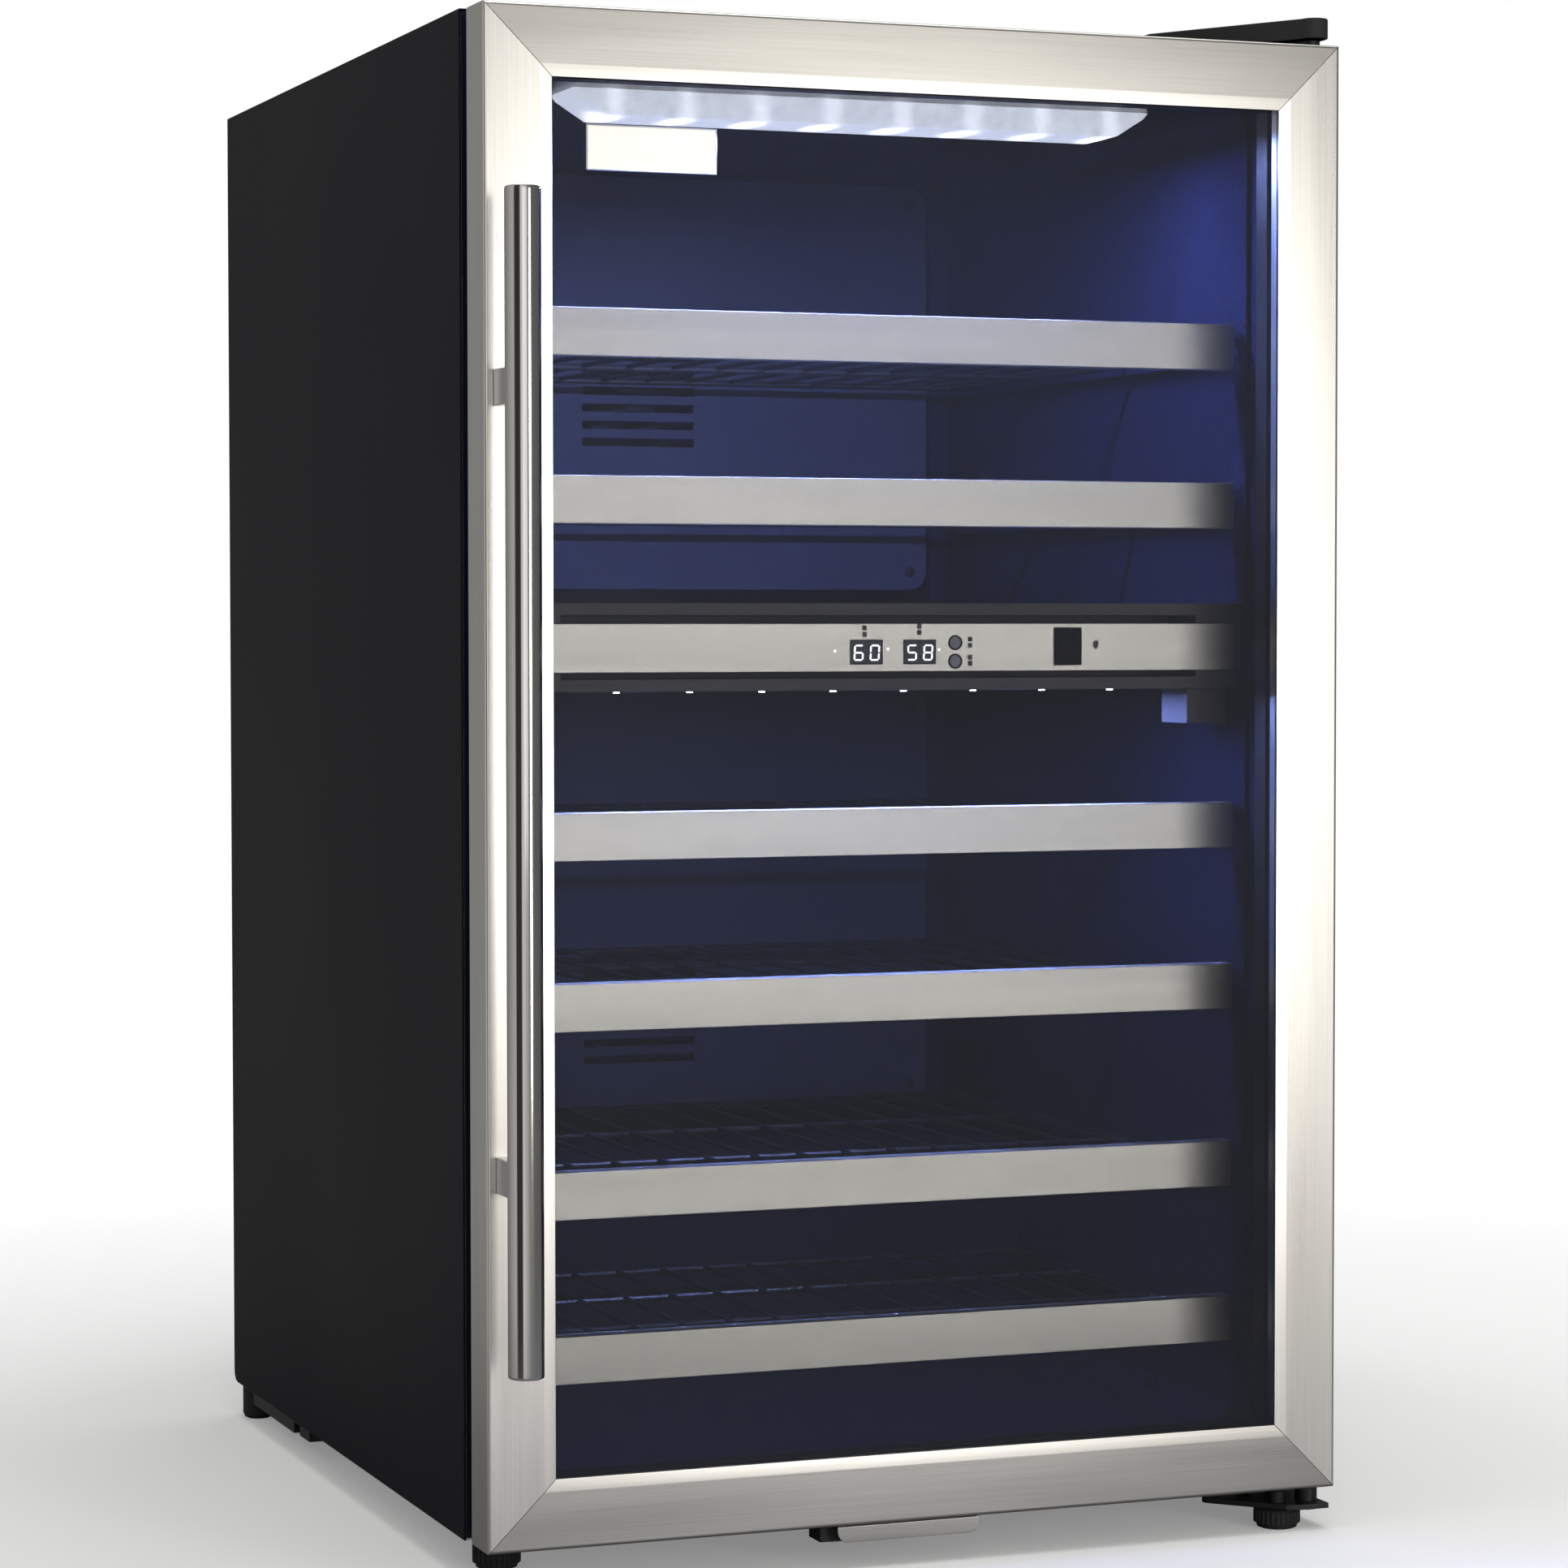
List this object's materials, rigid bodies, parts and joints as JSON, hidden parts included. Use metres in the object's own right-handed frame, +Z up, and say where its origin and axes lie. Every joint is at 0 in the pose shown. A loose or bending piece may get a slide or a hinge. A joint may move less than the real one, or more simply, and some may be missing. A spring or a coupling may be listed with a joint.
{
  "type": "wine cooler",
  "caption": "Free-standing two-zone wine cooler: black steel cabinet, stainless-framed glass door with a bar handle, pull-out bottle shelves, lit interior and a control strip between the zones.",
  "frame": {"origin": "centre of the footprint, on the floor the feet stand on", "axes": "+Z up, -Y out of the front of the door, +X to the right seen from the front, where the door hinges are"},
  "size_m": [0.5, 0.617, 0.853],
  "materials": {
    "black_paint": "satin",
    "black_steel": "satin",
    "zinc_steel": "dull zinc plate",
    "foam": "cut foam",
    "liner_plastic": "smooth",
    "aluminium": "mill finish",
    "black_plastic": "moulded satin",
    "grey_plastic": "moulded satin",
    "copper": "bare copper and fins",
    "brushed_steel": "brushed",
    "polished_steel": "bright",
    "display_window": "smoked window",
    "light_lens": "frosted lens",
    "dotted_glass": "tempered, printed with small dots",
    "clear_glass": "clear, lightly tinted",
    "rubber": "matt",
    "wire_coating": "plastic-coated wire"
  },
  "bodies": {
    "cabinet": {"outer_wrapper": "black_paint", "back_panel": "black_steel", "base_panel": "zinc_steel", "compressor_tray": "black_steel", "insulation": "foam", "liner": "liner_plastic", "upper_air_panel": "liner_plastic", "lower_air_panel": "liner_plastic", "evaporator": "aluminium", "machine_cover": "zinc_steel", "mains_inlet": "black_plastic", "compressor": "black_steel", "condenser": "copper", "divider_housing": "grey_plastic", "control_strip": "brushed_steel", "zone_display": "display_window", "switch_bezel": "black_plastic", "top_light": "light_lens", "lower_light": "light_lens", "top_hinge_bracket": "black_steel", "top_hinge_cover": "black_plastic", "bottom_hinge_bracket": "black_steel", "lock_housing": "black_plastic", "rear_foot_left": "black_plastic", "rear_foot_right": "black_plastic"},
    "door": {"door_stile_left": "brushed_steel", "door_stile_right": "brushed_steel", "door_rail_top": "brushed_steel", "door_rail_bottom": "brushed_steel", "door_inner_frame": "black_plastic", "door_outer_glass": "dotted_glass", "glass_spacer": "black_plastic", "door_inner_glass": "clear_glass", "door_gasket": "rubber", "handle_bar": "polished_steel", "handle_post_upper": "brushed_steel", "handle_post_lower": "brushed_steel", "name_plate": "polished_steel", "lock_plate": "brushed_steel"},
    "upper_set_button": {"upper_set_button": "polished_steel"},
    "lower_set_button": {"lower_set_button": "polished_steel"},
    "light_switch": {"light_switch_rocker": "black_plastic"},
    "upper_fan": {"upper_fan": "black_plastic"},
    "lower_fan": {"lower_fan": "black_plastic"},
    "lock_cylinder": {"lock_cylinder": "polished_steel"},
    "lock_bolt": {"lock_bolt": "zinc_steel"},
    "front_foot_left": {"front_foot_left": "black_plastic"},
    "front_foot_right": {"front_foot_right": "black_plastic"},
    "shelf_1": {"shelf_1_front": "brushed_steel", "shelf_1_rack": "wire_coating"},
    "shelf_2": {"shelf_2_front": "brushed_steel", "shelf_2_rack": "wire_coating"},
    "shelf_3": {"shelf_3_front": "brushed_steel", "shelf_3_rack": "wire_coating"},
    "shelf_4": {"shelf_4_front": "brushed_steel", "shelf_4_rack": "wire_coating"},
    "shelf_5": {"shelf_5_front": "brushed_steel", "shelf_5_rack": "wire_coating"},
    "shelf_6": {"shelf_6_front": "brushed_steel", "shelf_6_rack": "wire_coating"}
  },
  "joints": [
    {"name": "door_hinge", "type": "hinge", "parent": "cabinet", "child": "door", "pos_m": [0.2425, -0.2415, 0.424], "axis": [0, 0, 1], "range_deg": [0, 120]},
    {"name": "shelf_1_slide", "type": "slide", "parent": "cabinet", "child": "shelf_1", "axis": [0, -1, 0], "range_m": [0, 0.116]},
    {"name": "shelf_2_slide", "type": "slide", "parent": "cabinet", "child": "shelf_2", "axis": [0, -1, 0], "range_m": [0, 0.116]},
    {"name": "shelf_3_slide", "type": "slide", "parent": "cabinet", "child": "shelf_3", "axis": [0, -1, 0], "range_m": [0, 0.116]},
    {"name": "shelf_4_slide", "type": "slide", "parent": "cabinet", "child": "shelf_4", "axis": [0, -1, 0], "range_m": [0, 0.116]},
    {"name": "shelf_5_slide", "type": "slide", "parent": "cabinet", "child": "shelf_5", "axis": [0, -1, 0], "range_m": [0, 0.116]},
    {"name": "shelf_6_slide", "type": "slide", "parent": "cabinet", "child": "shelf_6", "axis": [0, -1, 0], "range_m": [0, 0.116]},
    {"name": "upper_set_button_press", "type": "slide", "parent": "cabinet", "child": "upper_set_button", "axis": [0, 1, 0], "range_m": [0, 0.0007], "stiffness_N_per_m": 600},
    {"name": "lower_set_button_press", "type": "slide", "parent": "cabinet", "child": "lower_set_button", "axis": [0, 1, 0], "range_m": [0, 0.0007], "stiffness_N_per_m": 600},
    {"name": "light_switch_rock", "type": "hinge", "parent": "cabinet", "child": "light_switch", "pos_m": [0.11, -0.2009, 0.50065], "axis": [1, 0, 0], "range_deg": [0, 14]},
    {"name": "upper_fan_spin", "type": "hinge", "parent": "cabinet", "child": "upper_fan", "pos_m": [0, 0.2315, 0.664], "axis": [0, 1, 0], "continuous": true},
    {"name": "lower_fan_spin", "type": "hinge", "parent": "cabinet", "child": "lower_fan", "pos_m": [0, 0.2315, 0.264], "axis": [0, 1, 0], "continuous": true},
    {"name": "lock_cylinder_turn", "type": "hinge", "parent": "cabinet", "child": "lock_cylinder", "pos_m": [-0.0485, -0.243, 0.017], "axis": [0, 0, 1], "range_deg": [0, 90]},
    {"name": "lock_bolt_lift", "type": "slide", "parent": "cabinet", "child": "lock_bolt", "axis": [0, 0, 1], "range_m": [0, 0.006]},
    {"name": "front_foot_left_turn", "type": "hinge", "parent": "cabinet", "child": "front_foot_left", "pos_m": [-0.2216, -0.183, 0.009], "axis": [0, 0, 1], "continuous": true},
    {"name": "front_foot_right_turn", "type": "hinge", "parent": "cabinet", "child": "front_foot_right", "pos_m": [0.2235, -0.2425, 0.009], "axis": [0, 0, 1], "continuous": true}
  ],
  "couplings": [
    {"joint": "shelf_1_slide", "follows": "door_hinge", "m_per_rad": 0.055},
    {"joint": "shelf_2_slide", "follows": "door_hinge", "m_per_rad": 0.055},
    {"joint": "shelf_3_slide", "follows": "door_hinge", "m_per_rad": 0.055},
    {"joint": "shelf_4_slide", "follows": "door_hinge", "m_per_rad": 0.055},
    {"joint": "shelf_5_slide", "follows": "door_hinge", "m_per_rad": 0.055},
    {"joint": "shelf_6_slide", "follows": "door_hinge", "m_per_rad": 0.055},
    {"joint": "lock_cylinder_turn", "follows": "lock_bolt_lift", "rad_per_m": 261.79}
  ]
}
